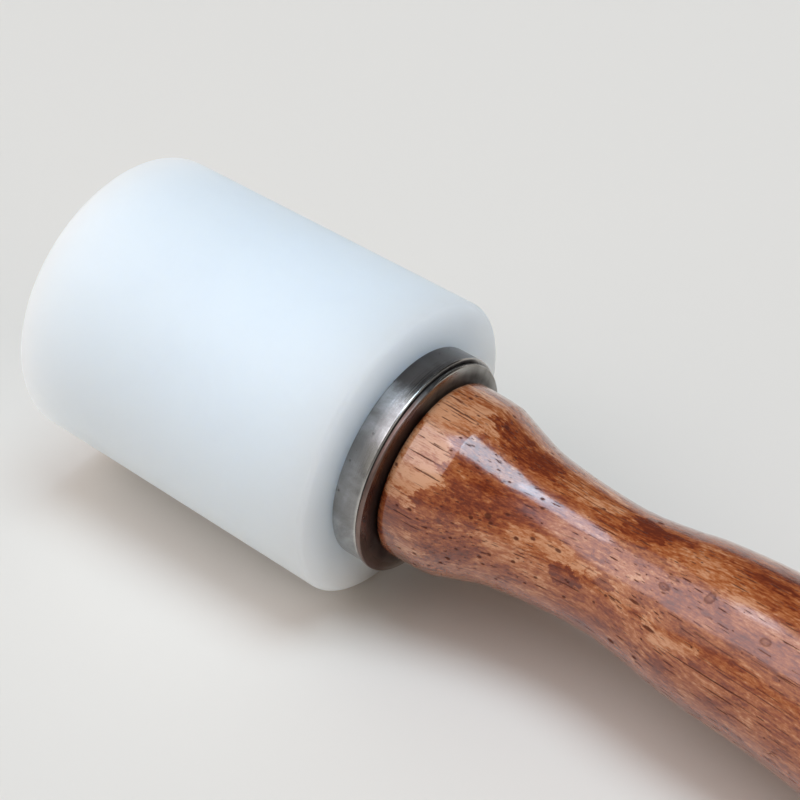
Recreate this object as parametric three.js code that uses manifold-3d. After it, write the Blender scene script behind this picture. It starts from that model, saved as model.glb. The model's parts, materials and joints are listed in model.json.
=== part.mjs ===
// Leather carving mallet, lying on its side on a bench, in millimetres, +Z up, handle towards +X.
// A nylon head and a turned wooden handle are clamped together with a thick steel collar and a
// thin washer between them. The stud that clamps them is fixed in the handle, runs through the
// head and carries a washer and a nut in a recess in the head's far end.

import * as THREE from "three";
import { mergeVertices } from "three/addons/utils/BufferGeometryUtils.js";
import Module from "manifold-3d";

// Driving sizes. A station is a place along the axis, counted from the head's near face, which is
// zero. Stations of the head are negative, and those of the handle are positive.

const headRadius = 21.4;
const headLength = 50;
const headRimRound = 0.8;
const recessRadius = 10;
const recessDepth = 18;
const recessMouthChamfer = 0.6;

const collarRadius = 15.25;
const collarThickness = 3.75;
const collarEdgeRound = 0.35;

const frontWasherRadius = 15.1;
const frontWasherThickness = 0.5;
const frontWasherEdgeRound = 0.2;
const frontWasherDrop = 0.25;

const handleLength = 135;
const shoulderRadius = 12.6;
const shoulderRound = 1.1;
const waistRadius = 8.55;
const waistFromShoulder = 27.5;
const bellyRadius = 14.2;
const bellyFromShoulder = 93;
const buttRadius = 12.3;
const buttDomeLength = 12;

const studRadius = 4;
const studInHandle = 52;
const studPastNut = 2;
const studEndChamfer = 0.8;
const handleBoreSpare = 0.6;

const nutAcrossFlats = 13;
const nutHeight = 6.5;
const nutChamferHeight = 0.7;
const nutWasherRadius = 8;
const nutWasherThickness = 1.6;
const nutWasherEdgeRound = 0.2;

// Clearances: between faces that are clamped together, and round the stud in every bore.
const faceGap = 0.25;
const boreClearance = 0.35;

// Counts of flat steps on round shapes.
const turnSegments = 48;
const rimSteps = 3;
const shoulderSteps = 4;
const profileSteps = 28;
const domeSteps = 7;
const hexagonSides = 6;

// Places along the axis that follow from the sizes.
const headFar = -headLength;
const collarBack = faceGap;
const collarFront = collarBack + collarThickness;
const frontWasherBack = collarFront + faceGap;
const frontWasherFront = frontWasherBack + frontWasherThickness;
const handleStart = frontWasherFront + faceGap;
const handleEnd = handleStart + handleLength;
const recessFloor = headFar + recessDepth;
const nutWasherTop = recessFloor - faceGap;
const nutWasherBottom = nutWasherTop - nutWasherThickness;
const nutTop = nutWasherBottom - faceGap;
const nutBottom = nutTop - nutHeight;
const studBottom = nutBottom - studPastNut;
const studTop = handleStart + studInHandle;
const boreRadius = studRadius + boreClearance;

const nylon = new THREE.MeshStandardMaterial({ color: 0xe9eff4, roughness: 0.42, metalness: 0 });
const collarSteel = new THREE.MeshStandardMaterial({ color: 0x8f9192, roughness: 0.34, metalness: 1 });
const washerSteel = new THREE.MeshStandardMaterial({ color: 0x77736c, roughness: 0.28, metalness: 1 });
const zincSteel = new THREE.MeshStandardMaterial({ color: 0xb4b7ba, roughness: 0.36, metalness: 1 });
const rosewood = new THREE.MeshStandardMaterial({ color: 0x9c5536, roughness: 0.22, metalness: 0 });

const wasm = await Module();
wasm.setup();

// An outline lists (radius, station) points. It runs towards the butt on a piece's outside and
// back on its inside, so that the turned faces point out of the material.
const point = (radius, station) => new THREE.Vector2(radius, station);

// A quarter round of an outline about a centre, from a start angle to an end angle.
function rounding(centreRadius, centreStation, size, from, to, steps) {
  return Array.from({ length: steps + 1 }, (_, step) => {
    const angle = THREE.MathUtils.lerp(from, to, step / steps);
    return point(centreRadius + size * Math.cos(angle), centreStation + size * Math.sin(angle));
  });
}

// Turning starts half a step off, so that a flat side, not an edge, faces the bench.
function turnedGeometry(outline) {
  return new THREE.LatheGeometry(outline, turnSegments, Math.PI / turnSegments, 2 * Math.PI);
}

// The outline of a flat ring with rounded outer edges.
function ringOutline(innerRadius, outerRadius, low, high, edgeRound) {
  const edgeCentre = outerRadius - edgeRound;
  return [
    point(innerRadius, low),
    ...rounding(edgeCentre, low + edgeRound, edgeRound, -Math.PI / 2, 0, rimSteps),
    ...rounding(edgeCentre, high - edgeRound, edgeRound, 0, Math.PI / 2, rimSteps),
    point(innerRadius, high),
    point(innerRadius, low),
  ];
}

function toSolid(geometry) {
  const bare = geometry.clone();
  bare.deleteAttribute("normal");
  bare.deleteAttribute("uv");
  const merged = mergeVertices(bare);
  const vertProperties = new Float32Array(merged.attributes.position.array);
  const triVerts = new Uint32Array(merged.index.array);
  return new wasm.Manifold(new wasm.Mesh({ numProp: 3, vertProperties, triVerts }));
}

function fromSolid(solid) {
  const { vertProperties, triVerts } = solid.getMesh();
  const geometry = new THREE.BufferGeometry();
  geometry.setAttribute("position", new THREE.BufferAttribute(vertProperties, 3));
  geometry.setIndex(new THREE.BufferAttribute(triVerts, 1));
  geometry.computeVertexNormals();
  return geometry;
}

function namedMesh(name, geometry, material) {
  const mesh = new THREE.Mesh(geometry, material);
  mesh.name = name;
  return mesh;
}

// The head: a nylon bar turned to a cylinder with barely broken rims, bored through for the stud,
// and counterbored at the far end so that the nut lies well below the face.
function makeHead() {
  const rimCentre = headRadius - headRimRound;
  const mouthRadius = recessRadius + recessMouthChamfer;
  const outline = [
    point(mouthRadius, headFar),
    ...rounding(rimCentre, headFar + headRimRound, headRimRound, -Math.PI / 2, 0, rimSteps),
    ...rounding(rimCentre, -headRimRound, headRimRound, 0, Math.PI / 2, rimSteps),
    point(boreRadius, 0),
    point(boreRadius, recessFloor),
    point(recessRadius, recessFloor),
    point(recessRadius, headFar + recessMouthChamfer),
    point(mouthRadius, headFar),
  ];
  return namedMesh("head", turnedGeometry(outline), nylon);
}

// The collar: a thick steel ring that spreads the clamping load over the nylon.
function makeCollar() {
  const outline = ringOutline(boreRadius, collarRadius, collarBack, collarFront, collarEdgeRound);
  return namedMesh("collar", turnedGeometry(outline), collarSteel);
}

// The thin washer under the handle's shoulder. Its bore is wide for the stud, so it has dropped
// on it, and a crescent of the collar's face stands above it.
function makeFrontWasher() {
  const outline = ringOutline(
    boreRadius + frontWasherDrop,
    frontWasherRadius,
    frontWasherBack,
    frontWasherFront,
    frontWasherEdgeRound,
  );
  const washer = namedMesh("front_washer", turnedGeometry(outline), washerSteel);
  washer.position.z = -frontWasherDrop;
  return washer;
}

// The handle's long curve, from the shoulder through the waist to the belly and the butt. Each
// stretch is given by shares of its length and of its change in radius.
const throatShares = [[0.13, 0.045], [0.25, 0.2], [0.5, 0.71], [0.77, 0.94]];
const swellShares = [
  [0.09, 0.125],
  [0.15, 0.25],
  [0.235, 0.34],
  [0.34, 0.41],
  [0.43, 0.52],
  [0.55, 0.69],
  [0.77, 0.92],
];
const taperShares = [[0.35, 0.16], [0.62, 0.44], [0.85, 0.86], [0.93, 0.97]];

function handleCurve() {
  const shoulderStation = handleStart + shoulderRound;
  const shoulder = point(shoulderRadius, shoulderStation);
  const waist = point(waistRadius, shoulderStation + waistFromShoulder);
  const belly = point(bellyRadius, shoulderStation + bellyFromShoulder);
  const butt = point(buttRadius, handleEnd - buttDomeLength);
  const stretch = (start, end, shares) => shares.map(([along, change]) => point(
    THREE.MathUtils.lerp(start.x, end.x, change),
    THREE.MathUtils.lerp(start.y, end.y, along),
  ));
  const controls = [
    shoulder,
    ...stretch(shoulder, waist, throatShares),
    waist,
    ...stretch(waist, belly, swellShares),
    belly,
    ...stretch(belly, butt, taperShares),
    butt,
  ];
  return new THREE.SplineCurve(controls).getSpacedPoints(profileSteps);
}

// The handle: hardwood turned between centres, with a rounded shoulder against the thin washer, a
// narrow waist for the fingers, a belly that fills the palm and a domed butt. The stud's bore is
// blind.
const handleOutside = [
  ...rounding(
    shoulderRadius - shoulderRound,
    handleStart + shoulderRound,
    shoulderRound,
    -Math.PI / 2,
    0,
    shoulderSteps,
  ).slice(0, -1),
  ...handleCurve().slice(0, -1),
  ...Array.from({ length: domeSteps }, (_, step) => {
    const angle = (Math.PI / 2) * (step / domeSteps);
    return point(
      buttRadius * Math.cos(angle),
      handleEnd - buttDomeLength + buttDomeLength * Math.sin(angle),
    );
  }),
  point(0, handleEnd),
];

function makeHandle() {
  const boreEnd = studTop + handleBoreSpare;
  const outline = [
    point(0, boreEnd),
    point(boreRadius, boreEnd),
    point(boreRadius, handleStart),
    ...handleOutside,
  ];
  return namedMesh("handle", turnedGeometry(outline), rosewood);
}

// The stud: a threaded steel rod, glued into the handle's bore, with chamfered ends.
function makeStud() {
  const outline = [
    point(0, studBottom),
    point(studRadius - studEndChamfer, studBottom),
    point(studRadius, studBottom + studEndChamfer),
    point(studRadius, studTop - studEndChamfer),
    point(studRadius - studEndChamfer, studTop),
    point(0, studTop),
  ];
  return namedMesh("stud", turnedGeometry(outline), zincSteel);
}

// The flat washer that the nut pulls against the recess's floor.
function makeNutWasher() {
  const outline = ringOutline(boreRadius, nutWasherRadius, nutWasherBottom, nutWasherTop, nutWasherEdgeRound);
  return namedMesh("nut_washer", turnedGeometry(outline), zincSteel);
}

// The nut: a hexagonal bar whose corners are turned off at both faces, bored for the stud.
function makeNut() {
  const cornerRadius = nutAcrossFlats / 2 / Math.cos(Math.PI / hexagonSides);
  const faceRadius = nutAcrossFlats / 2;
  const bar = new THREE.CylinderGeometry(cornerRadius, cornerRadius, nutHeight, hexagonSides);
  bar.translate(0, (nutBottom + nutTop) / 2, 0);
  const blank = turnedGeometry([
    point(boreRadius, nutBottom),
    point(faceRadius, nutBottom),
    point(cornerRadius, nutBottom + nutChamferHeight),
    point(cornerRadius, nutTop - nutChamferHeight),
    point(faceRadius, nutTop),
    point(boreRadius, nutTop),
    point(boreRadius, nutBottom),
  ]);
  return namedMesh("nut", fromSolid(toSolid(bar).intersect(toSolid(blank))), zincSteel);
}

// The mallet lies on the head's near rim and on the ring of the handle that a line from that rim
// meets first. On flat-sided turnings both lie a little nearer to the axis than the corners do.
function restingTilt() {
  const flatShare = Math.cos(Math.PI / turnSegments);
  const slopes = handleOutside.map(({ x: radius, y: station }) => (
    (flatShare * (headRadius - radius)) / (station + headRimRound)
  ));
  return Math.atan(Math.min(...slopes));
}

const mallet = new THREE.Group();
mallet.name = "leather_carving_mallet";
mallet.add(
  makeHead(),
  makeCollar(),
  makeFrontWasher(),
  makeHandle(),
  makeStud(),
  makeNutWasher(),
  makeNut(),
);

// The axis is laid along +X and tipped so that the handle comes down to the bench.
mallet.rotation.set(0, restingTilt(), -Math.PI / 2);
mallet.updateMatrixWorld(true);

// The origin is on the bench, under the middle of the mallet's box.
const box = new THREE.Box3().setFromObject(mallet, true);
const middle = box.getCenter(new THREE.Vector3());
mallet.position.set(-middle.x, -middle.y, -box.min.z);

export default mallet;
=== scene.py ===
import json
import math

import bpy
import numpy as np
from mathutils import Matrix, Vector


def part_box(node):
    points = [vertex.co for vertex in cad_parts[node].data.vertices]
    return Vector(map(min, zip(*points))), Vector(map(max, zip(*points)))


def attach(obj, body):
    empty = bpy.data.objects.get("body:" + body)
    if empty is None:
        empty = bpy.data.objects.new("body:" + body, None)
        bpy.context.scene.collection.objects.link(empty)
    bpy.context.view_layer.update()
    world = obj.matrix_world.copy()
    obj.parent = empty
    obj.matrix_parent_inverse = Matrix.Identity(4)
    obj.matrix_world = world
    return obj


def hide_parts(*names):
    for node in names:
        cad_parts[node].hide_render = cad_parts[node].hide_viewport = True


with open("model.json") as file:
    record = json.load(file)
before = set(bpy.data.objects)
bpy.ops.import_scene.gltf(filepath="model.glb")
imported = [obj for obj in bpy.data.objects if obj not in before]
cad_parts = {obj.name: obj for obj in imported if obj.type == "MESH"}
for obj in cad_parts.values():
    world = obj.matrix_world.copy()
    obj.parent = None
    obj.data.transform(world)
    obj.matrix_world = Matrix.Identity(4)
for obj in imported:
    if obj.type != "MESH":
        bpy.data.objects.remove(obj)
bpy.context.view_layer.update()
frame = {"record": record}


# The handle: one piece of red-brown hardwood, turned between centres, sanded and lacquered. It has
# a rounded shoulder against the thin washer, a waist for the fingers, a belly for the palm and a
# domed butt. A blind bore in its shoulder holds the stud.

MM = 0.001
HEAD_LENGTH = 50.0
BORE_RADIUS = 4.35
SHOULDER_FACE = 4.8
SHOULDER_STATION = 6.1
SHOULDER_RADIUS = 12.6
SHOULDER_ROUND = 1.1
WAIST_RADIUS = 8.55
WAIST_FROM_SHOULDER = 27.5
BELLY_RADIUS = 14.2
BELLY_FROM_SHOULDER = 93.0
BUTT_RADIUS = 12.3
BUTT_DOME_LENGTH = 12.0
HANDLE_END = 140.0
HANDLE_BORE_END = 57.6
THROAT_SHARES = [
    (0.13, 0.03), (0.19, 0.062), (0.215, 0.092), (0.25, 0.17), (0.36, 0.43), (0.5, 0.71), (0.77, 0.94),
]
SWELL_SHARES = [
    (0.09, 0.125), (0.15, 0.25), (0.235, 0.34), (0.34, 0.41), (0.43, 0.52), (0.55, 0.69), (0.77, 0.92),
]
TAPER_SHARES = [(0.35, 0.16), (0.62, 0.44), (0.85, 0.86), (0.93, 0.97)]
PROFILE_POINTS = 260
DOME_POINTS = 40
DOME_STOP_DEGREES = 88.5
HANDLE_STEPS = 160
OUTSIDE_BORE = 0.1
HAND_WAVE = 0.035
# Two slow ripples: radians in a millimetre along the handle, and waves on the way round it.
HAND_RIPPLES = [(0.31, 2), (0.17, -3)]

# The mallet's own axes come from the frame. Its axis points out of the butt, against the way the
# head's far face looks, and stations are counted in millimetres from the head's near face.
far_face = frame["record"]["mounts"][0]
along = -np.array(far_face["axis"])
upward = np.array([-along[2], 0.0, along[0]])
across = np.array([0.0, 1.0, 0.0])
head_low, head_high = (np.array(corner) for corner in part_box("head"))
near_face = (head_low + head_high) / 2 + along * HEAD_LENGTH / 2 * MM
tilt = math.atan2(-along[2], along[0])


def on_mallet(station, radius, turn):
    """Points of the frame: the near face's middle, plus station times the axis, plus radius times
    the direction that lies turn radians round from straight up. All three are arrays."""
    station, radius, turn = np.broadcast_arrays(station, radius, turn)
    outward = np.cos(turn)[..., None] * upward + np.sin(turn)[..., None] * across
    return near_face + MM * (station[..., None] * along + radius[..., None] * outward)


def smooth_curve(knots, count):
    """A curve through the knots. Between two knots it is the cubic that leaves and arrives with
    half the difference of the knots on either side. Gives count points."""
    padded = np.vstack([knots[:1], knots, knots[-1:]])
    t = np.linspace(0, len(knots) - 1, count)
    i = np.minimum(t.astype(int), len(knots) - 2)
    u = (t - i)[:, None]
    before, start, end, after = padded[i], padded[i + 1], padded[i + 2], padded[i + 3]
    leave, arrive = (end - before) / 2, (after - start) / 2
    cubic = (2 * start - 2 * end + leave + arrive) * u**3
    square = (3 * end - 3 * start - 2 * leave - arrive) * u**2
    return cubic + square + leave * u + start


def arc(middle, size, start, end, count=12):
    """Points of an ellipse's arc about a (radius, station) middle, between two angles in degrees
    counted from straight outwards towards the butt."""
    angle = np.radians(np.linspace(start, end, count))
    return np.stack([middle[0] + size[0] * np.cos(angle), middle[1] + size[1] * np.sin(angle)], 1)


def outline_of(*parts, longest=1.2, snug=0.05):
    """One outline from points and arcs. A straight stretch over the longest step is divided, with
    one more point snug to each of its ends, so that rounded edges shade crisply."""
    corners = np.vstack([np.atleast_2d(part) for part in parts])
    stretches = []
    for start, end in zip(corners[:-1], corners[1:]):
        length = np.linalg.norm(end - start)
        shares = [0.0]
        if length > longest:
            shares = [0.0, *np.linspace(snug / length, 1 - snug / length, int(length / longest) + 2)]
        stretches.append(start + np.outer(shares, end - start))
    return np.vstack([*stretches, corners[-1:]])


def skin(name, rings, closed):
    """A mesh over rings of points, rings[i, j] being point j of ring i. Every four neighbours make
    a face. A closed outline joins its last ring to its first. An open one ends in two fans, each
    about its ring's middle. The sign of the enclosed volume says which way turns faces outwards."""
    count, steps = rings.shape[:2]
    index = np.arange(count * steps).reshape(count, steps)
    following = np.roll(index, -1, axis=0) if closed else index[1:]
    leading = index if closed else index[:-1]
    quads = np.stack(
        [leading, np.roll(leading, -1, axis=1), np.roll(following, -1, axis=1), following], -1
    ).reshape(-1, 4)
    points = rings.reshape(-1, 3)
    a, b, c, d = (points[quads[:, corner]] - points.mean(0) for corner in range(4))
    volume = np.einsum("ij,ij->", a, np.cross(b, c)) + np.einsum("ij,ij->", a, np.cross(c, d))
    fans = np.empty((0, 3), int)
    if not closed:
        points = np.vstack([points, rings[0].mean(0), rings[-1].mean(0)])
        first, last = np.full(steps, count * steps), np.full(steps, count * steps + 1)
        start_fan = np.stack([np.roll(index[0], -1), index[0], first], 1)
        end_fan = np.stack([index[-1], np.roll(index[-1], -1), last], 1)
        fans = np.vstack([start_fan, end_fan])
    if volume < 0:
        quads, fans = quads[:, ::-1], fans[:, ::-1]
    mesh = bpy.data.meshes.new(name)
    mesh.from_pydata(points.tolist(), [], quads.tolist() + fans.tolist())
    mesh.shade_smooth()
    piece = bpy.data.objects.new(name, mesh)
    bpy.context.scene.collection.objects.link(piece)
    return piece


def part_way(start, end, shares):
    """Knots between two places of the handle. Each pair of shares says how far along the length
    and how far through the change of radius a knot lies."""
    return [[start[0] + (end[0] - start[0]) * c, start[1] + (end[1] - start[1]) * a] for a, c in shares]


shoulder = [SHOULDER_RADIUS, SHOULDER_STATION]
waist = [WAIST_RADIUS, shoulder[1] + WAIST_FROM_SHOULDER]
belly = [BELLY_RADIUS, shoulder[1] + BELLY_FROM_SHOULDER]
butt = [BUTT_RADIUS, HANDLE_END - BUTT_DOME_LENGTH]
knots = np.array(
    [shoulder, *part_way(shoulder, waist, THROAT_SHARES), waist]
    + [*part_way(waist, belly, SWELL_SHARES), belly, *part_way(belly, butt, TAPER_SHARES), butt]
)
shoulder_middle = [shoulder[0] - SHOULDER_ROUND, shoulder[1]]
handle_outline = np.vstack([
    outline_of([BORE_RADIUS, HANDLE_BORE_END], [BORE_RADIUS, SHOULDER_FACE]),
    arc(shoulder_middle, [SHOULDER_ROUND, shoulder[1] - SHOULDER_FACE], -90, 0)[:-1],
    smooth_curve(knots, PROFILE_POINTS),
    arc([0, butt[1]], [BUTT_RADIUS, BUTT_DOME_LENGTH], 0, DOME_STOP_DEGREES, DOME_POINTS)[1:],
])
handle_turn = np.linspace(0, 2 * np.pi, HANDLE_STEPS, endpoint=False)[None, :]
handle_radius, handle_station = handle_outline[:, :1], handle_outline[:, 1:]
# Sanding by hand leaves shallow waves, so two slow ripples that cross take a little off the radius.
ripples = sum(np.sin(handle_station * rate + waves * handle_turn) for rate, waves in HAND_RIPPLES)
outside = handle_radius > BORE_RADIUS + OUTSIDE_BORE
sanded_radius = handle_radius - HAND_WAVE * outside * (1 + ripples / 2)
handle = skin("turned_handle", on_mallet(handle_station, sanded_radius, handle_turn), closed=False)


def add_node(tree, kind, inputs=None, **settings):
    """Adds a node, gives it its settings, and sets or links each of its inputs."""
    made = tree.nodes.new(kind)
    for key, value in settings.items():
        setattr(made, key, value)
    for key, value in (inputs or {}).items():
        if isinstance(value, bpy.types.NodeSocket):
            tree.links.new(value, made.inputs[key])
        else:
            made.inputs[key].default_value = value
    return made


def maths(tree, operation, *values, clamp=False):
    """One step of arithmetic on values or sockets."""
    inputs = dict(enumerate(values))
    return add_node(tree, "ShaderNodeMath", inputs, operation=operation, use_clamp=clamp).outputs[0]


def vectors(tree, operation, *values):
    """One step of arithmetic on vectors."""
    made = add_node(tree, "ShaderNodeVectorMath", dict(enumerate(values)), operation=operation)
    return made.outputs[0]


def length_of(tree, vector):
    """The length of a vector."""
    return add_node(tree, "ShaderNodeVectorMath", {0: vector}, operation="LENGTH").outputs["Value"]


def noise(tree, vector, detail=3.0, roughness=0.5, distortion=0.0, output="Fac"):
    """Smooth noise that changes over one unit of the vector."""
    inputs = {"Vector": vector, "Scale": 1.0, "Detail": detail, "Roughness": roughness}
    inputs["Distortion"] = distortion
    return add_node(tree, "ShaderNodeTexNoise", inputs).outputs[output]


def between(tree, value, low, high, out_low=0.0, out_high=1.0, soft="SMOOTHSTEP"):
    """Maps low to out_low and high to out_high, and holds beyond them. Low and high may be sockets."""
    inputs = {"Value": value, "From Min": low, "From Max": high, "To Min": out_low, "To Max": out_high}
    return add_node(tree, "ShaderNodeMapRange", inputs, interpolation_type=soft).outputs[0]


def mixed(tree, share, first, second, how="MIX"):
    """Two colours mixed by a share."""
    inputs = {0: share, 6: first, 7: second}
    return add_node(tree, "ShaderNodeMix", inputs, data_type="RGBA", blend_type=how).outputs[2]


def ramp(tree, value, stops):
    """A colour that runs through stops, each a place from 0 to 1 and a colour."""
    made = add_node(tree, "ShaderNodeValToRGB", {"Fac": value})
    elements = made.color_ramp.elements
    while len(elements) < len(stops):
        elements.new(0.5)
    for element, (place, colour) in zip(elements, stops):
        element.position = place
        element.color = colour
    return made.outputs["Color"]


def bumped(tree, height, distance, strength=1.0):
    """A normal from a height that is counted in the distance."""
    inputs = {"Height": height, "Distance": distance, "Strength": strength}
    return add_node(tree, "ShaderNodeBump", inputs).outputs["Normal"]


def new_material(name):
    """A material, its node tree, its shader, and the mallet's coordinates in millimetres: x is the
    station, y is across and z is upward, square to the axis."""
    material = bpy.data.materials.new(name)
    material.use_nodes = True
    tree = material.node_tree
    place = add_node(tree, "ShaderNodeTexCoord").outputs["Object"]
    inputs = {"Vector": place, "Location": tuple(near_face), "Rotation": (0, tilt, 0)}
    inputs["Scale"] = (MM, MM, MM)
    mapped = add_node(tree, "ShaderNodeMapping", inputs, vector_type="TEXTURE").outputs[0]
    return material, tree, tree.nodes["Principled BSDF"], mapped


def finish_piece(piece, material, node):
    """Dresses a piece, lets it ride with the mallet, and hides the CAD node it stands for."""
    piece.data.materials.append(material)
    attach(piece, "root")
    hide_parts(node)


WOOD_DARK = (0.130, 0.020, 0.006, 1)
WOOD_RED = (0.215, 0.038, 0.009, 1)
WOOD_BROWN = (0.310, 0.074, 0.019, 1)
WOOD_AMBER = (0.400, 0.120, 0.036, 1)
WOOD_TAN = (0.590, 0.270, 0.135, 1)
PORE_COLOUR = (0.075, 0.014, 0.006, 1)
# The tone at which the wood has each colour.
WOOD_TONES = [
    (0.22, WOOD_DARK), (0.36, WOOD_RED), (0.46, WOOD_BROWN), (0.56, WOOD_AMBER), (0.74, WOOD_TAN),
]
LAYER_PERIOD = 6.5
LAYER_RIPPLE = 2.6
# The shares of a growth layer over which it darkens, and over which it ends.
LAYER_DARKENS = (0.0, 0.86)
LAYER_ENDS = (1.0, 0.9)
MM_PER_DEGREE = 0.19
# How often each of the wood's noises changes in a millimetre: along the fibres, and across them.
WANDER_RATE = (0.016, 0.04, 0.04)
LAYER_RIPPLE_RATE = (0.05, 0.14, 0.14)
FIGURE_RATE = (0.2, 0.42, 0.42)
STREAK_RATE = (0.10, 2.2, 2.2)
FLECK_RATE = (1.1, 3.2, 3.2)
RAGGED_RATE = (0.26, 0.5, 0.5)
BAND_RATE = (0.05, 0.22, 0.22)
DOT_RATE = (0.6, 0.9, 0.9)
LACQUER_RATE = (0.25, 0.6, 0.6)
# How far, in millimetres, the noises push the fibres, the edges of the patches and the knots.
WANDER_REACH = (0, 8, 8)
RAGGED_REACH = (13.0, 7.5, 0)
NUDGE_REACH = (1.2, 0.5, 0)
PITH_PLACE = (20, -33, 21)
PITH_LEAN = (0, math.radians(9), math.radians(-8))
LAYER_SHARE = -0.10
FIGURE_SHARE = 0.78
STREAK_SHARE = 0.6
FLECK_SHARE = 0.7
TONE_DROP = 0.525
PORE_SHARE = 0.85
HAIR_SHARE = 0.75
# Where in their noise the bands of long fine lines begin, how much of the lines shows outside the
# bands, and how much more inside.
BAND_EDGE = (0.42, 0.55)
LINES_OUTSIDE = 0.25
LINES_RISE = 0.75
# The dots are full size at the shoulder: two stations, and the shares of the size there.
DOT_SIZE = 0.30
DOTS_GROW = (46.0, 14.0, 0.5, 1.0)
# How far out in an oval, where 1 is its edge, an effect starts and is whole.
PATCH_EDGE = (1.08, 0.90)
KNOT_EDGE = (1.15, 0.55)
EYELET_RIM = (1.2, 0.9)
# Two places in an eyelet, near its middle and near its rim, and how dark it is at each.
EYELET_MIDDLE = (0.35, 0.8, 0.3, 0.6)
OVAL_DEPTH = 1e3
# The roughness of the wood, and what the figure and the pores add to it.
WOOD_ROUGHNESS = 0.15
FIGURE_ROUGHNESS = 0.12
PORE_ROUGHNESS = 0.5
WOOD_SPECULAR = 0.15
# The heights that raise and lower the lacquer, as shares of its bump in millimetres.
LACQUER_BUMP = 0.12
LACQUER_HEIGHT = 0.6
STREAK_HEIGHT = 0.22
FLECK_HEIGHT = 0.16
PORE_HEIGHT = -0.4
LACQUER_ROUGHNESS = 0.12
LACQUER_INDEX = 1.6
COAT_LOST_IN_PORES = -0.9

# Places where this piece of wood is lighter or darker: station, degrees round from straight up,
# half length and half width in millimetres, and how much lighter. The first two, by the shoulder,
# are partly paler wood and partly a painted sheen.
WOOD_PATCHES = [
    (8.0, 2, 4.9, 4.8, 0.20), (7.0, -43, 4.7, 4.2, 0.27), (30, -100, 60, 3.6, -0.05),
    (18.0, 6, 5.6, 2.2, -0.13), (27.6, 11, 5.2, 3.0, 0.15), (36.0, 5, 2.2, 4.2, -0.14),
    (38.5, 13, 5.0, 1.8, -0.08), (48.0, -4, 11.0, 3.2, 0.05), (18.5, -42, 5.6, 2.6, -0.04),
    (15.0, -60, 2.4, 2.4, -0.08), (27.0, -52, 5.5, 1.6, 0.13), (30.0, -65, 3.2, 1.5, -0.22),
    (34.0, -52, 1.4, 2.2, -0.12), (38.5, -60, 3.6, 1.7, 0.08), (44.5, -62, 4.0, 2.0, 0.11),
    (32.8, -36, 0.5, 1.8, -0.12), (55.0, -64, 8.5, 1.5, -0.08), (9.5, -93, 2.6, 2.3, 0.16),
    (8.0, -73, 3.4, 2.3, -0.08), (23.0, -72, 6.5, 2.2, 0.06), (52.0, 14, 8.0, 2.4, -0.14),
    (20.0, -100, 8.0, 3.0, 0.03),
]
# Small dark knots, and eyelets with a lighter middle: station, degrees, half length, half width.
WOOD_KNOTS = [
    (18.5, -52, 0.55, 0.45), (24.6, -51, 0.4, 0.3), (28.0, -49.5, 0.45, 0.3), (38.2, -98, 0.6, 0.45),
    (41.6, -95, 0.5, 0.3), (14.0, 9, 0.5, 0.4), (36.3, 20, 0.5, 0.35), (42.3, -65, 1.1, 0.3),
    (39.3, -54, 1.0, 0.25), (22.8, -57, 0.4, 0.3), (16.8, -58, 0.35, 0.3),
    (23.4, -75.6, 0.35, 0.3), (26.6, -79.5, 0.35, 0.25), (20.2, -79, 0.4, 0.25), (15.4, -96, 0.3, 0.3),
]
# Long open pores, drawn the same way but thin.
WOOD_LINES = [
    (8.6, -3.2, 3.4, 0.13), (9.4, -5.3, 2.6, 0.09), (6.8, 4.2, 1.7, 0.11), (6.6, 10.6, 1.2, 0.11),
    (9.0, 17.5, 1.6, 0.09), (8.3, -38.4, 2.9, 0.10), (8.9, -29.6, 1.4, 0.08), (28.6, 0.6, 4.6, 0.09),
    (25.6, 6.5, 3.2, 0.09), (29.6, -4.5, 2.6, 0.07), (31.0, -10.4, 2.0, 0.08), (27.0, 14.0, 3.4, 0.08),
    (30.3, -72.3, 2.9, 0.10), (51.5, -71.6, 9.0, 0.09), (46.0, -79.2, 1.1, 0.12), (53.0, -79.4, 2.8, 0.12),
    (56.0, -87.6, 2.5, 0.10), (44.6, -48.0, 1.6, 0.09), (59.5, -47.0, 1.7, 0.08), (22.5, 3.5, 2.8, 0.08),
    (46.5, -84.0, 1.2, 0.09), (59.0, -80.0, 1.5, 0.09), (40.5, -61.5, 1.4, 0.09), (19.5, 12.0, 2.6, 0.09),
]
WOOD_EYELETS = [
    (41.6, -34, 0.8, 0.5), (47.1, -26, 0.6, 0.85), (42.1, -26, 0.8, 0.25), (55.1, -34, 0.7, 0.5),
]

rosewood, tree, shader, place = new_material("rosewood")
# The fibres wander slowly about the axis.
wander = noise(tree, vectors(tree, "MULTIPLY", place, WANDER_RATE), detail=1.0, output="Color")
wander = vectors(tree, "SUBTRACT", wander, (0.5, 0.5, 0.5))
fibre = vectors(tree, "MULTIPLY_ADD", wander, WANDER_REACH, place)
# Growth layers are tubes about a pith that passes beside the handle, a few degrees off its axis.
# Each layer darkens slowly outwards and ends at a sharper edge.
pith_inputs = {"Vector": fibre, "Location": PITH_PLACE, "Rotation": PITH_LEAN}
pith = add_node(tree, "ShaderNodeMapping", pith_inputs, vector_type="TEXTURE").outputs[0]
distance = length_of(tree, vectors(tree, "MULTIPLY", pith, (0, 1, 1)))
ripple = noise(tree, vectors(tree, "MULTIPLY", fibre, LAYER_RIPPLE_RATE), detail=5.0, roughness=0.55)
layers_out = maths(tree, "DIVIDE", distance, LAYER_PERIOD)
phase = maths(tree, "MULTIPLY_ADD", ripple, LAYER_RIPPLE, layers_out)
share = maths(tree, "FRACT", phase)
darkens = between(tree, share, *LAYER_DARKENS)
layer = maths(tree, "MULTIPLY", darkens, between(tree, share, *LAYER_ENDS))
figure_place = vectors(tree, "MULTIPLY", fibre, FIGURE_RATE)
figure = noise(tree, figure_place, detail=7.0, roughness=0.68, distortion=0.5)
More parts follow.
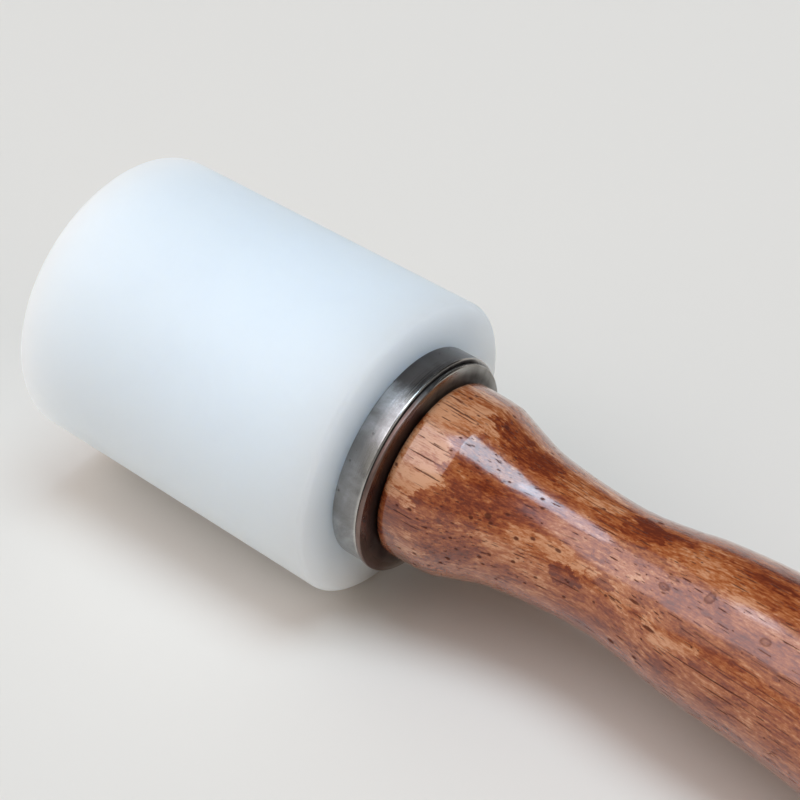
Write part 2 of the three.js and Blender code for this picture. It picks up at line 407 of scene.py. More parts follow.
streak = noise(tree, vectors(tree, "MULTIPLY", fibre, STREAK_RATE), detail=4.0, roughness=0.65)
fleck = noise(tree, vectors(tree, "MULTIPLY", fibre, FLECK_RATE), detail=4.0, roughness=0.64)

# Each patch is an ellipse on the unrolled surface, its edge made ragged by pushing the place about.
apart = add_node(tree, "ShaderNodeSeparateXYZ", {0: place}).outputs
turned_by = maths(tree, "ARCTAN2", apart[1], apart[2])
round_it = maths(tree, "MULTIPLY", turned_by, math.degrees(MM_PER_DEGREE))
unrolled = add_node(tree, "ShaderNodeCombineXYZ", {0: apart[0], 1: round_it}).outputs[0]
push_place = vectors(tree, "MULTIPLY", fibre, RAGGED_RATE)
push = noise(tree, push_place, detail=8.0, roughness=0.66, output="Color")
push = vectors(tree, "SUBTRACT", push, (0.5, 0.5, 0.5))
pushed = vectors(tree, "MULTIPLY_ADD", push, RAGGED_REACH, unrolled)


def oval(tree, where, station, degrees, half_length, half_width):
    """How far out a place lies in an oval on the unrolled surface: 0 in its middle, 1 at its edge."""
    inputs = {"Vector": where, "Location": (station, degrees * MM_PER_DEGREE, 0)}
    inputs["Scale"] = (half_length, half_width, OVAL_DEPTH)
    inside = add_node(tree, "ShaderNodeMapping", inputs, vector_type="TEXTURE").outputs[0]
    return length_of(tree, inside)


lighter = 0.0
for *spot, amount in WOOD_PATCHES:
    inside = between(tree, oval(tree, pushed, *spot), *PATCH_EDGE)
    lighter = maths(tree, "MULTIPLY_ADD", inside, amount, lighter)

tone = maths(tree, "MULTIPLY_ADD", layer, LAYER_SHARE, lighter)
tone = maths(tree, "MULTIPLY_ADD", figure, FIGURE_SHARE, tone)
tone = maths(tree, "MULTIPLY_ADD", streak, STREAK_SHARE, tone)
tone = maths(tree, "MULTIPLY_ADD", fleck, FLECK_SHARE, maths(tree, "SUBTRACT", tone, TONE_DROP))
wood = ramp(tree, tone, WOOD_TONES)


# Moves each cell's noise to a place of its own, far from its neighbours'.
CELL_SHIFT = (97, 53, 71)
# A cell's random colour, low and high, and the share of the full width that each gives.
VESSEL_WIDTHS = (0.2, 0.9, 0.4, 1.0)
# Cells whose random colour is below the first have no pit, and at the second it is full size.
PIT_CHANCE = (0.3, 1.0)
# The share of a pore's reach that is fully dark.
PORE_CORE = 0.5


def vessels(tree, fibre, spacing, width, dash, share=(0.47, 0.55)):
    """Open pores: a tube along the fibres in each cell of a pattern across them, as wide as the
    cell's random colour says, and broken into dashes by a noise of its own along the station."""
    on_end = {"Vector": fibre, "Rotation": (0, math.radians(90), 0)}
    turned_round = add_node(tree, "ShaderNodeMapping", on_end).outputs[0]
    inputs = {"Vector": turned_round, "Scale": 1 / spacing}
    cells = add_node(tree, "ShaderNodeTexVoronoi", inputs, voronoi_dimensions="2D")
    chance = add_node(tree, "ShaderNodeSeparateColor", {0: cells.outputs["Color"]}).outputs[0]
    own = vectors(tree, "MULTIPLY", cells.outputs["Color"], CELL_SHIFT)
    run = noise(tree, vectors(tree, "MULTIPLY_ADD", fibre, (1 / dash, 0, 0), own), detail=1.0)
    own_width = between(tree, chance, *VESSEL_WIDTHS)
    width_here = maths(tree, "MULTIPLY", own_width, width / spacing / 2)
    reach = maths(tree, "MULTIPLY", width_here, between(tree, run, *share))
    return between(tree, cells.outputs["Distance"], reach, maths(tree, "MULTIPLY", reach, PORE_CORE))


def pits(tree, vector, size, where):
    """Short pores that show as dots: one round spot in some of the cells, as large as the cell's
    random colour and the mask say."""
    cells = add_node(tree, "ShaderNodeTexVoronoi", {"Vector": vector, "Scale": 1.0})
    chance = add_node(tree, "ShaderNodeSeparateColor", {0: cells.outputs["Color"]}).outputs[1]
    reach = maths(tree, "MULTIPLY", between(tree, chance, *PIT_CHANCE, 0.0, size), where)
    return between(tree, cells.outputs["Distance"], reach, maths(tree, "MULTIPLY", reach, PORE_CORE))


short_dashes = vessels(tree, fibre, spacing=0.8, width=0.22, dash=1.8)
long_dashes = vessels(tree, fibre, spacing=1.9, width=0.28, dash=4.0, share=(0.5, 0.58))
dashes = maths(tree, "MAXIMUM", short_dashes, long_dashes)
# Long fine lines, which come and go in broad bands.
lines = vessels(tree, fibre, spacing=0.75, width=0.25, dash=9.0, share=(0.45, 0.52))
bands = noise(tree, vectors(tree, "MULTIPLY", fibre, BAND_RATE), detail=2.0)
bands = maths(tree, "MULTIPLY_ADD", between(tree, bands, *BAND_EDGE), LINES_RISE, LINES_OUTSIDE)
lines = maths(tree, "MULTIPLY", lines, bands)
hairs = vessels(tree, fibre, spacing=0.5, width=0.2, dash=2.2, share=(0.44, 0.5))
hairs = maths(tree, "MULTIPLY", hairs, HAIR_SHARE)
near_shoulder = between(tree, apart[0], *DOTS_GROW)
dots = pits(tree, vectors(tree, "MULTIPLY", fibre, DOT_RATE), DOT_SIZE, near_shoulder)
dots = maths(tree, "MAXIMUM", dashes, dots)
pores = maths(tree, "MAXIMUM", dots, maths(tree, "MAXIMUM", lines, hairs))
# The knots and eyelets are dark, and barely pushed about.
nudged = vectors(tree, "MULTIPLY_ADD", push, NUDGE_REACH, unrolled)
knots = 0.0
for spot in WOOD_KNOTS + WOOD_LINES:
    knots = maths(tree, "MAXIMUM", knots, between(tree, oval(tree, nudged, *spot), *KNOT_EDGE))
for spot in WOOD_EYELETS:
    reach = oval(tree, nudged, *spot)
    lighter_middle = between(tree, reach, *EYELET_MIDDLE)
    rim = maths(tree, "MULTIPLY", between(tree, reach, *EYELET_RIM), lighter_middle)
    knots = maths(tree, "MAXIMUM", knots, rim)
dull = maths(tree, "MAXIMUM", pores, knots)
wood = mixed(tree, maths(tree, "MULTIPLY", dull, PORE_SHARE), wood, PORE_COLOUR)
tree.links.new(wood, shader.inputs["Base Color"])
rough = maths(tree, "MULTIPLY_ADD", figure, FIGURE_ROUGHNESS, WOOD_ROUGHNESS)
rough = maths(tree, "MULTIPLY_ADD", dull, PORE_ROUGHNESS, rough, clamp=True)
tree.links.new(rough, shader.inputs["Roughness"])
lacquer = noise(tree, vectors(tree, "MULTIPLY", place, LACQUER_RATE), detail=2.0)
height = maths(tree, "MULTIPLY", lacquer, LACQUER_HEIGHT)
height = maths(tree, "MULTIPLY_ADD", streak, STREAK_HEIGHT, height)
height = maths(tree, "MULTIPLY_ADD", fleck, FLECK_HEIGHT, height)
height = maths(tree, "MULTIPLY_ADD", pores, PORE_HEIGHT, height)
tree.links.new(bumped(tree, height, LACQUER_BUMP * MM), shader.inputs["Normal"])
shader.inputs["Specular IOR Level"].default_value = WOOD_SPECULAR
tree.links.new(maths(tree, "MULTIPLY_ADD", dull, COAT_LOST_IN_PORES, 1.0), shader.inputs["Coat Weight"])
shader.inputs["Coat Roughness"].default_value = LACQUER_ROUGHNESS
shader.inputs["Coat IOR"].default_value = LACQUER_INDEX
finish_piece(handle, rosewood, "handle")


# The stud: a zinc-plated steel rod, threaded from end to end. It is glued into the handle's bore,
# passes through both washers, the collar and the head, and ends just past the nut.

STUD_RADIUS = 4.0
STUD_START = -42.6
STUD_END = 57.0
STUD_CHAMFER = 0.8
THREAD_PITCH = 1.25
THREAD_DEPTH = 0.62
THREAD_STEEPNESS = 1.35
CREST_FLAT = 0.175
ROWS_TO_A_PITCH = 10
STUD_STEPS = 72


def thread_radius(station, turn, crest):
    """The thread's profile: a triangle wave of the station less one pitch for each full turn, cut
    off flat at the crest and at the root."""
    phase = station / THREAD_PITCH - turn / (2 * np.pi)
    wave = np.abs(2 * (phase - np.floor(phase + 0.5)))
    return crest - THREAD_DEPTH * np.clip(wave * THREAD_STEEPNESS - CREST_FLAT, 0, 1)


stud_rows = round((STUD_END - STUD_START) / THREAD_PITCH * ROWS_TO_A_PITCH)
stud_station = np.linspace(STUD_START, STUD_END, stud_rows)[:, None]
stud_turn = np.linspace(0, 2 * np.pi, STUD_STEPS, endpoint=False)[None, :]
end_cone = STUD_RADIUS - STUD_CHAMFER + np.minimum(stud_station - STUD_START, STUD_END - stud_station)
stud_radius = np.minimum(thread_radius(stud_station, stud_turn, STUD_RADIUS), end_cone)
stud = skin("threaded_stud", on_mallet(stud_station, stud_radius, stud_turn), closed=False)


def new_group(name, values, outputs):
    """An empty node group that takes a place and the named values. Gives the group, the sockets of
    its inputs, and its output node."""
    group = bpy.data.node_groups.new(name, "ShaderNodeTree")
    group.interface.new_socket("Place", in_out="INPUT", socket_type="NodeSocketVector")
    for value in values:
        group.interface.new_socket(value, in_out="INPUT", socket_type="NodeSocketFloat")
    for output in outputs:
        group.interface.new_socket(output, in_out="OUTPUT", socket_type="NodeSocketFloat")
    return group, group.nodes.new("NodeGroupInput").outputs, group.nodes.new("NodeGroupOutput")


def use_group(tree, group, **values):
    """Places a group in a material with its own values. Gives the group's outputs."""
    made = tree.nodes.new("ShaderNodeGroup")
    made.node_tree = group
    for key, value in values.items():
        socket = made.inputs[key.replace("_", " ")]
        if isinstance(value, bpy.types.NodeSocket):
            tree.links.new(value, socket)
        else:
            socket.default_value = value
    return made.outputs


def station_and_radius(tree, place):
    """How far along the mallet, and how far from its axis, a place lies."""
    station = add_node(tree, "ShaderNodeSeparateXYZ", {0: place}).outputs[0]
    return station, length_of(tree, vectors(tree, "MULTIPLY", place, (0, 1, 1)))


def degrees_of(tree, place):
    """The degrees that a place lies round from straight up, positive towards the far side."""
    apart = add_node(tree, "ShaderNodeSeparateXYZ", {0: place}).outputs
    return maths(tree, "MULTIPLY", maths(tree, "ARCTAN2", apart[1], apart[2]), math.degrees(1))


# Turning marks: a tool that goes round the axis leaves rings, which change quickly with the station
# and with the radius, and slowly on the way round.
MARKS_ROUND_RATE = (0, 0.09, 0.09)

turning_marks, given, result = new_group("turning_marks", ["Lines per mm"], ["Marks"])
station, radius = station_and_radius(turning_marks, given["Place"])
outward = maths(turning_marks, "ADD", station, radius)
lines = maths(turning_marks, "MULTIPLY", outward, given["Lines per mm"])
slow = vectors(turning_marks, "MULTIPLY", given["Place"], MARKS_ROUND_RATE)
quick = add_node(turning_marks, "ShaderNodeCombineXYZ", {0: lines}).outputs[0]
marks = noise(turning_marks, vectors(turning_marks, "ADD", slow, quick), detail=2.0, roughness=0.6)
turning_marks.links.new(marks, result.inputs["Marks"])

# Mottling: the uneven dullness and the small dark specks of metal that has been handled and stored.
# A cell of the pattern has a speck when its random colour is high, and its size goes with it.
SPECK_CHANCE = (0.72, 1.0)
SPECK_SIZES = (0.0, 0.34)

mottling, given, result = new_group("mottling", ["Patches per mm", "Specks per mm"], ["Patches", "Specks"])
patch_inputs = {0: given["Place"], "Scale": given["Patches per mm"]}
patch_place = add_node(mottling, "ShaderNodeVectorMath", patch_inputs, operation="SCALE").outputs[0]
patchy = noise(mottling, patch_place, detail=7.0, roughness=0.62, distortion=0.4)
mottling.links.new(patchy, result.inputs["Patches"])
speck_inputs = {"Vector": given["Place"], "Scale": given["Specks per mm"]}
cells = add_node(mottling, "ShaderNodeTexVoronoi", speck_inputs)
chance = add_node(mottling, "ShaderNodeSeparateColor", {0: cells.outputs["Color"]}).outputs[1]
reach = between(mottling, chance, *SPECK_CHANCE, *SPECK_SIZES)
mottling.links.new(between(mottling, cells.outputs["Distance"], reach, 0.0), result.inputs["Specks"])

# Edge highlight: a painted highlight along a ragged line round the rim at a station and radius.
# Its raggedness multiplies the distance from the rim by the noise's share and a least value.
EDGE_HIGHLIGHT_NOISE_SHARE = 1.6
EDGE_HIGHLIGHT_LEAST = 0.2

edge_highlight, given, result = new_group("edge_highlight", ["Station", "Radius", "Width"], ["Edge"])
station, radius = station_and_radius(edge_highlight, given["Place"])
off_station = maths(edge_highlight, "SUBTRACT", station, given["Station"])
off_radius = maths(edge_highlight, "SUBTRACT", radius, given["Radius"])
off = add_node(edge_highlight, "ShaderNodeCombineXYZ", {0: off_station, 1: off_radius}).outputs[0]
away = length_of(edge_highlight, off)
ragged = noise(edge_highlight, given["Place"], detail=5.0, roughness=0.6)
ragged = maths(edge_highlight, "MULTIPLY_ADD", ragged, EDGE_HIGHLIGHT_NOISE_SHARE, EDGE_HIGHLIGHT_LEAST)
away = maths(edge_highlight, "MULTIPLY", away, ragged)
edge_highlight.links.new(between(edge_highlight, away, given["Width"], 0.0), result.inputs["Edge"])


ZINC_BRIGHT = (0.62, 0.64, 0.66, 1)
ZINC_DULL = (0.40, 0.41, 0.42, 1)
ZINC_SPECK = (0.12, 0.11, 0.10, 1)
ZINC_SPECK_SHARE = 0.6
# Where in the mottling the plate is bright and dull, and how rough it is at two places there.
ZINC_DULLS = (0.35, 0.7)
ZINC_ROUGHENS = (0.3, 0.75, 0.24, 0.46)
ZINC_BUMP = 0.012

zinc, tree, shader, place = new_material("zinc_plate")
dull = use_group(tree, mottling, Place=place, Patches_per_mm=0.5, Specks_per_mm=1.6)
plate = mixed(tree, between(tree, dull["Patches"], *ZINC_DULLS), ZINC_BRIGHT, ZINC_DULL)
plate = mixed(tree, maths(tree, "MULTIPLY", dull["Specks"], ZINC_SPECK_SHARE), plate, ZINC_SPECK)
tree.links.new(plate, shader.inputs["Base Color"])
tree.links.new(between(tree, dull["Patches"], *ZINC_ROUGHENS), shader.inputs["Roughness"])
shader.inputs["Metallic"].default_value = 1.0
marks = use_group(tree, turning_marks, Place=place, Lines_per_mm=9.0)["Marks"]
tree.links.new(bumped(tree, marks, ZINC_BUMP * MM), shader.inputs["Normal"])
finish_piece(stud, zinc, "stud")


# The thin washer under the handle's shoulder: stamped from steel sheet, one edge rolled over by the
# punch and the other crisp. Its hole is wide for the stud, so it has dropped to the near side.

THIN_RADIUS = 15.1
THIN_HOLE = 4.6
THIN_BACK = 4.04
THIN_FRONT = 4.7
THIN_ROLL = 0.18
THIN_BURR = 0.1
THIN_SHIFT = np.array([0.0, -0.25, -0.3])


def turned(name, outline, shift=(0.0, 0.0, 0.0), steps=192):
    """Carries an outline of (radius, station) points once round the mallet's axis, and shifts it by
    so many millimetres. An outline that ends where it starts makes a ring."""
    turn = np.linspace(0, 2 * np.pi, steps, endpoint=False)[None, :]
    closed = bool(np.allclose(outline[0], outline[-1]))
    rows = outline[:-1] if closed else outline
    return skin(name, on_mallet(rows[:, 1:], rows[:, :1], turn) + MM * np.array(shift), closed)


thin_washer = turned(
    "thin_washer",
    outline_of(
        [THIN_HOLE, THIN_BACK],
        arc([THIN_RADIUS - THIN_BURR, THIN_BACK + THIN_BURR], [THIN_BURR, THIN_BURR], -90, 0, 5),
        arc([THIN_RADIUS - THIN_ROLL, THIN_FRONT - THIN_ROLL], [THIN_ROLL, THIN_ROLL], 0, 90, 10),
        [THIN_HOLE, THIN_FRONT],
        [THIN_HOLE, THIN_BACK],
    ),
    shift=THIN_SHIFT,
)

# Painted seam shade: a painted black shadow in the gap between the two rings over the top, and a
# painted contact shadow on the thin washer against the handle's shoulder, and a painted brown shade
# that takes the black's place on the near side. Each pair is where an effect starts and where it is
# whole: a turn in degrees round from straight up, which is negative on the near side, or a station
# or a radius in millimetres.
BLACK_TURN_LOW = (-76.0, -62.0)
BLACK_TURN_HIGH = (44.0, 30.0)
BLACK_STATION = (3.85, 4.0)
BLACK_RADIUS = (14.2, 14.7)
# The painted black shadow covers the thin washer's rim on the near side of the top, and stops short
# of it on the far side: two turns, the station where it stops at each, and how softly it stops.
COVER_TURN = (-8.0, 12.0)
COVER_STATION = (4.74, 4.2)
COVER_SOFTNESS = (0.06, -0.08)
BLACK_STRENGTH = 1.4
# Round the near side the black gives way to a painted brown shade, over the whole of the washer.
BROWN_SHADE_TURN_HIGH = (-8.0, -22.0)
BROWN_SHADE_TURN_LOW = (-160.0, -130.0)
BROWN_SHADE_STATION = (3.95, 4.08)
BLACK_LOST_TO_BROWN_SHADE = -0.75
# The painted contact shadow: a dark ring on the thin washer's face next to the handle's shoulder.
SHOULDER_RING_RADIUS = (14.6, 12.9)
SHOULDER_RING_STATION = (4.3, 4.5)
# Noise that breaks up the painted shade.
SHADE_BREAKUP_RATE = (0.5, 0.5, 0.5)
SHADE_BREAKUP_SHARE = 0.6
SHADE_BREAKUP_LEAST = 0.35

painted_seam_shade, given, result = new_group("painted_seam_shade", [], ["Grime", "Brown_shade"])
station, radius = station_and_radius(painted_seam_shade, given["Place"])
degrees_round = degrees_of(painted_seam_shade, given["Place"])
started = between(painted_seam_shade, degrees_round, *BLACK_TURN_LOW)
ended = between(painted_seam_shade, degrees_round, *BLACK_TURN_HIGH)
around = maths(painted_seam_shade, "MULTIPLY", started, ended)
covered = between(painted_seam_shade, degrees_round, *COVER_TURN, *COVER_STATION)
past_cover = maths(painted_seam_shade, "SUBTRACT", station, covered)
short_of = between(painted_seam_shade, past_cover, *COVER_SOFTNESS)
band = maths(painted_seam_shade, "MULTIPLY", between(painted_seam_shade, station, *BLACK_STATION), short_of)
rim = between(painted_seam_shade, radius, *BLACK_RADIUS)
seam = maths(painted_seam_shade, "MULTIPLY", maths(painted_seam_shade, "MULTIPLY", band, rim), around)
# The painted brown shade on the near side of the washer.
brown_shade_above = between(painted_seam_shade, degrees_round, *BROWN_SHADE_TURN_HIGH)
brown_shade_below = between(painted_seam_shade, degrees_round, *BROWN_SHADE_TURN_LOW)
brown_shade = maths(painted_seam_shade, "MULTIPLY", brown_shade_above, brown_shade_below)
brown_shade = maths(painted_seam_shade, "MULTIPLY", brown_shade, between(painted_seam_shade, station, *BROWN_SHADE_STATION))
painted_seam_shade.links.new(brown_shade, result.inputs["Brown_shade"])
black_left = maths(painted_seam_shade, "MULTIPLY_ADD", brown_shade, BLACK_LOST_TO_BROWN_SHADE, 1.0)
seam = maths(painted_seam_shade, "MULTIPLY", seam, black_left)
# The painted contact shadow against the handle's shoulder.
shoulder_ring = between(painted_seam_shade, radius, *SHOULDER_RING_RADIUS)
ring_depth = between(painted_seam_shade, station, *SHOULDER_RING_STATION)
shoulder_ring = maths(painted_seam_shade, "MULTIPLY", shoulder_ring, ring_depth)
shade_breakup = noise(painted_seam_shade, vectors(painted_seam_shade, "MULTIPLY", given["Place"], SHADE_BREAKUP_RATE), detail=5.0)
shade_breakup = maths(painted_seam_shade, "MULTIPLY_ADD", shade_breakup, SHADE_BREAKUP_SHARE, SHADE_BREAKUP_LEAST)
seam = maths(painted_seam_shade, "MULTIPLY", seam, BLACK_STRENGTH)
# The painted shade: the black shadow in the seam and the contact shadow by the shoulder.
painted_shade = maths(painted_seam_shade, "MAXIMUM", seam, shoulder_ring)
painted_shade = maths(painted_seam_shade, "MULTIPLY", painted_shade, shade_breakup)
painted_seam_shade.links.new(painted_shade, result.inputs["Grime"])

STEEL_BUMP = 0.012
SPECK_HEIGHT = -0.8
# A painted dark reflection lies over the top. Its turns are in degrees, and the mottling makes them ragged.
DARK_TOP_TURN_LOW = (-24.0, -6.0)
DARK_TOP_TURN_HIGH = (70.0, 40.0)
DARK_TOP_STATION = (4.3, 3.9)
DARK_TOP_RAGGED = 60.0
DARK_TOP_SHARE = 0.85
SPECK_SHARE = 0.6
# The width and strength of the painted highlight along the rim.
EDGE_HIGHLIGHT_WIDTH = 0.5
EDGE_HIGHLIGHT_SHARE = 0.8
BROWN_SHADE_SHARE = 0.75
# How rough the steel is at two places in the mottling, and what specks and the painted shade add.
STEEL_ROUGHENS = (0.3, 0.7, 0.16, 0.27)
SPECK_ROUGHNESS = 0.25
PAINTED_SHADE_ROUGHNESS = 0.5
# The colour of the dark specks, and of the painted dark reflection over the top.
STEEL_SPECK_AND_DARK_TOP = (0.06, 0.05, 0.045, 1)
STEEL_EDGE_HIGHLIGHT = (0.62, 0.60, 0.57, 1)
STEEL_PAINTED_SHADE = (0.022, 0.017, 0.017, 1)
STEEL_BROWN_SHADE = (0.12, 0.045, 0.03, 1)
SHEET_STEEL = [(0.36, (0.45, 0.43, 0.40, 1)), (0.5, (0.35, 0.335, 0.31, 1)), (0.66, (0.22, 0.205, 0.185, 1))]


def steel(name, colours, rim_station, rim_radius, patches, marks_per_mm):
    """Bare steel: a base that runs through the colours with the mottling, a painted dark reflection
    over the top, dark specks, a painted highlight along the rim, a painted brown shade and a painted
    black shadow where the seam group says, and faint rings from the tool. Specks and the places with
    the painted black shadow are also rougher."""
    material, tree, shader, place = new_material(name)
    dull = use_group(tree, mottling, Place=place, Patches_per_mm=patches, Specks_per_mm=1.1)
    colour = ramp(tree, dull["Patches"], colours)
    station = add_node(tree, "ShaderNodeSeparateXYZ", {0: place}).outputs[0]
    unevenness = maths(tree, "SUBTRACT", dull["Patches"], 0.5)
    ragged = maths(tree, "MULTIPLY_ADD", unevenness, DARK_TOP_RAGGED, degrees_of(tree, place))
    # The painted dark reflection over the top of the steel.
    dark_top = between(tree, ragged, *DARK_TOP_TURN_LOW)
    dark_top = maths(tree, "MULTIPLY", dark_top, between(tree, ragged, *DARK_TOP_TURN_HIGH))
    dark_top = maths(tree, "MULTIPLY", dark_top, between(tree, station, *DARK_TOP_STATION))
    colour = mixed(tree, maths(tree, "MULTIPLY", dark_top, DARK_TOP_SHARE), colour, STEEL_SPECK_AND_DARK_TOP)
    colour = mixed(tree, maths(tree, "MULTIPLY", dull["Specks"], SPECK_SHARE), colour, STEEL_SPECK_AND_DARK_TOP)
    # A painted highlight along the rim.
    rim = {"Station": rim_station, "Radius": rim_radius, "Width": EDGE_HIGHLIGHT_WIDTH}
    edge = use_group(tree, edge_highlight, Place=place, **rim)["Edge"]
    colour = mixed(tree, maths(tree, "MULTIPLY", edge, EDGE_HIGHLIGHT_SHARE), colour, STEEL_EDGE_HIGHLIGHT)
    # Painted shade: a brown shade on the near side, and black shadow in the seam and by the shoulder.
    painted_shades = use_group(tree, painted_seam_shade, Place=place)
    # The painted brown shade on the near side.
    colour = mixed(tree, maths(tree, "MULTIPLY", painted_shades["Brown_shade"], BROWN_SHADE_SHARE), colour, STEEL_BROWN_SHADE)
    # The painted black shadow in the seam and the painted contact shadow by the shoulder.
    tree.links.new(mixed(tree, painted_shades["Grime"], colour, STEEL_PAINTED_SHADE), shader.inputs["Base Color"])
    rough = between(tree, dull["Patches"], *STEEL_ROUGHENS)
    rough = maths(tree, "MULTIPLY_ADD", dull["Specks"], SPECK_ROUGHNESS, rough)
    rough = maths(tree, "MULTIPLY_ADD", painted_shades["Grime"], PAINTED_SHADE_ROUGHNESS, rough, clamp=True)
    tree.links.new(rough, shader.inputs["Roughness"])
    shader.inputs["Metallic"].default_value = 1.0
    marks = use_group(tree, turning_marks, Place=place, Lines_per_mm=marks_per_mm)["Marks"]
    height = maths(tree, "MULTIPLY_ADD", dull["Specks"], SPECK_HEIGHT, marks)
    height = maths(tree, "MULTIPLY_ADD", dull["Patches"], 1.0, height)
    tree.links.new(bumped(tree, height, STEEL_BUMP * MM), shader.inputs["Normal"])
    return material


thin_steel = steel(
    "thin_washer_steel", SHEET_STEEL, THIN_FRONT, THIN_RADIUS, patches=0.12, marks_per_mm=5.0
)
finish_piece(thin_washer, thin_steel, "front_washer")


# The collar: a thick steel ring turned from bar, between the head and the thin washer. It spreads
# the stud's pull over the nylon, and its edges are just broken.

COLLAR_RADIUS = 15.25
COLLAR_BACK = 0.12
COLLAR_FRONT = 4.0
COLLAR_EDGE = 0.3
RING_HOLE = 4.35
BAR_STEEL = [(0.36, (0.44, 0.44, 0.44, 1)), (0.5, (0.305, 0.30, 0.295, 1)), (0.66, (0.195, 0.188, 0.18, 1))]


def ring_outline(radius, back, front, edge, hole=RING_HOLE):
    """A ring's section: a rectangle from the hole to the radius, its outer corners rounded."""
    return outline_of(
        [hole, back],
        arc([radius - edge, back + edge], [edge, edge], -90, 0, 8),
        arc([radius - edge, front - edge], [edge, edge], 0, 90, 8),
        [hole, front],
        [hole, back],
        longest=0.8,
    )


collar = turned("steel_collar", ring_outline(COLLAR_RADIUS, COLLAR_BACK, COLLAR_FRONT, COLLAR_EDGE))
collar_finish = steel(
    "collar_steel", BAR_STEEL, COLLAR_FRONT, COLLAR_RADIUS, patches=0.16, marks_per_mm=7.0
)
finish_piece(collar, collar_finish, "collar")


# The head: a solid cylinder of white nylon, cut from bar and faced on a lathe, its rims barely
# broken. Its far end has a recess for the nut and its washer, with a bored hole on through.

HEAD_RADIUS = 21.4
HEAD_RIM = 0.8
RECESS_RADIUS = 10.0
RECESS_FLOOR = -32.0
RECESS_CHAMFER = 0.6
RECESS_FILLET = 0.3

head = turned(
    "nylon_head",
    outline_of(
        [RING_HOLE, 0.0],
        arc([HEAD_RADIUS - HEAD_RIM, -HEAD_RIM], [HEAD_RIM, HEAD_RIM], 90, 0, 10),
        arc([HEAD_RADIUS - HEAD_RIM, HEAD_RIM - HEAD_LENGTH], [HEAD_RIM, HEAD_RIM], 0, -90, 10),
        [RECESS_RADIUS + RECESS_CHAMFER, -HEAD_LENGTH],
        [RECESS_RADIUS, RECESS_CHAMFER - HEAD_LENGTH],
        arc([RECESS_RADIUS - RECESS_FILLET, RECESS_FLOOR - RECESS_FILLET], [RECESS_FILLET] * 2, 0, 90, 5),
        [RING_HOLE, RECESS_FLOOR],
        [RING_HOLE, 0.0],
    ),
)

NYLON_WHITE = (0.73, 0.80, 0.875, 1)
NYLON_WORN = (0.715, 0.78, 0.855, 1)
# Where in the mottling the nylon is clean and worn, and how rough it is at two places there.
NYLON_WEARS = (0.45, 0.75)
NYLON_ROUGHENS = (0.3, 0.7, 0.4, 0.54)
NYLON_SPECULAR = 0.3
# Light spreads in it by so many millimetres, times these shares for red, green and blue.
NYLON_SPREAD = (1.0, 1.05, 1.15)
NYLON_DEPTH = 30.0
NYLON_INDEX = 1.53
NYLON_BUMP = 0.014

nylon, tree, shader, place = new_material("white_nylon")
handled = use_group(tree, mottling, Place=place, Patches_per_mm=0.06, Specks_per_mm=0.2)
white = mixed(tree, between(tree, handled["Patches"], *NYLON_WEARS), NYLON_WHITE, NYLON_WORN)
tree.links.new(white, shader.inputs["Base Color"])
tree.links.new(between(tree, handled["Patches"], *NYLON_ROUGHENS), shader.inputs["Roughness"])
shader.inputs["Specular IOR Level"].default_value = NYLON_SPECULAR
shader.inputs["Subsurface Weight"].default_value = 1.0
shader.inputs["Subsurface Radius"].default_value = NYLON_SPREAD
shader.inputs["Subsurface Scale"].default_value = NYLON_DEPTH * MM
shader.inputs["IOR"].default_value = NYLON_INDEX
marks = use_group(tree, turning_marks, Place=place, Lines_per_mm=2.2)["Marks"]
tree.links.new(bumped(tree, marks, NYLON_BUMP * MM), shader.inputs["Normal"])
finish_piece(head, nylon, "head")


# The nut's washer: a flat zinc-plated disc on the floor of the recess, under the nut.

NUT_WASHER_RADIUS = 8.0
NUT_WASHER_BACK = -33.85
NUT_WASHER_FRONT = -32.25
NUT_WASHER_EDGE = 0.2

nut_washer = turned(
    "nut_washer_disc", ring_outline(NUT_WASHER_RADIUS, NUT_WASHER_BACK, NUT_WASHER_FRONT, NUT_WASHER_EDGE)
)
finish_piece(nut_washer, zinc, "nut_washer")


# The nut: a zinc-plated steel hexagon nut at the bottom of the recess. It pulls the head, the
# collar and the thin washer hard against the handle's shoulder.

NUT_START = -40.6
NUT_END = -34.1
NUT_ACROSS_FLATS = 13.0
NUT_CHAMFER_HEIGHT = 0.7
NUT_THREAD_CREST = STUD_RADIUS + 0.07
NUT_MOUTH = 4.35
NUT_CHAMFER_ANGLE = math.radians(30)
NUT_STEPS = 192
NUT_ROWS = 40

nut_turn = np.linspace(0, 2 * np.pi, NUT_STEPS, endpoint=False)[None, :]
from_flat = (nut_turn + np.pi / 6) % (np.pi / 3) - np.pi / 6
hexagon = NUT_ACROSS_FLATS / 2 / np.cos(from_flat)
corner_radius = NUT_ACROSS_FLATS / 2 / math.cos(math.pi / 6)
nut_side = np.linspace(NUT_START, NUT_END, NUT_ROWS)[:, None]
from_end = np.minimum(nut_side - NUT_START, NUT_END - nut_side)
chamfer = corner_radius + (from_end - NUT_CHAMFER_HEIGHT) / math.tan(NUT_CHAMFER_ANGLE)
side_radius = np.minimum(hexagon, chamfer)
bore_station = nut_side[::-1]
mouth = NUT_MOUTH - np.minimum(bore_station - NUT_START, NUT_END - bore_station)
bore_radius = np.maximum(thread_radius(bore_station, nut_turn, NUT_THREAD_CREST), mouth)
nut_radius = np.vstack([side_radius, bore_radius])
nut_station = np.vstack([nut_side, bore_station])
nut = skin("hexagon_nut", on_mallet(nut_station, nut_radius, nut_turn), closed=True)
finish_piece(nut, zinc, "nut")


# The bench: a plain pale floor that the mallet rests on. Far away it sweeps up into a low backdrop.

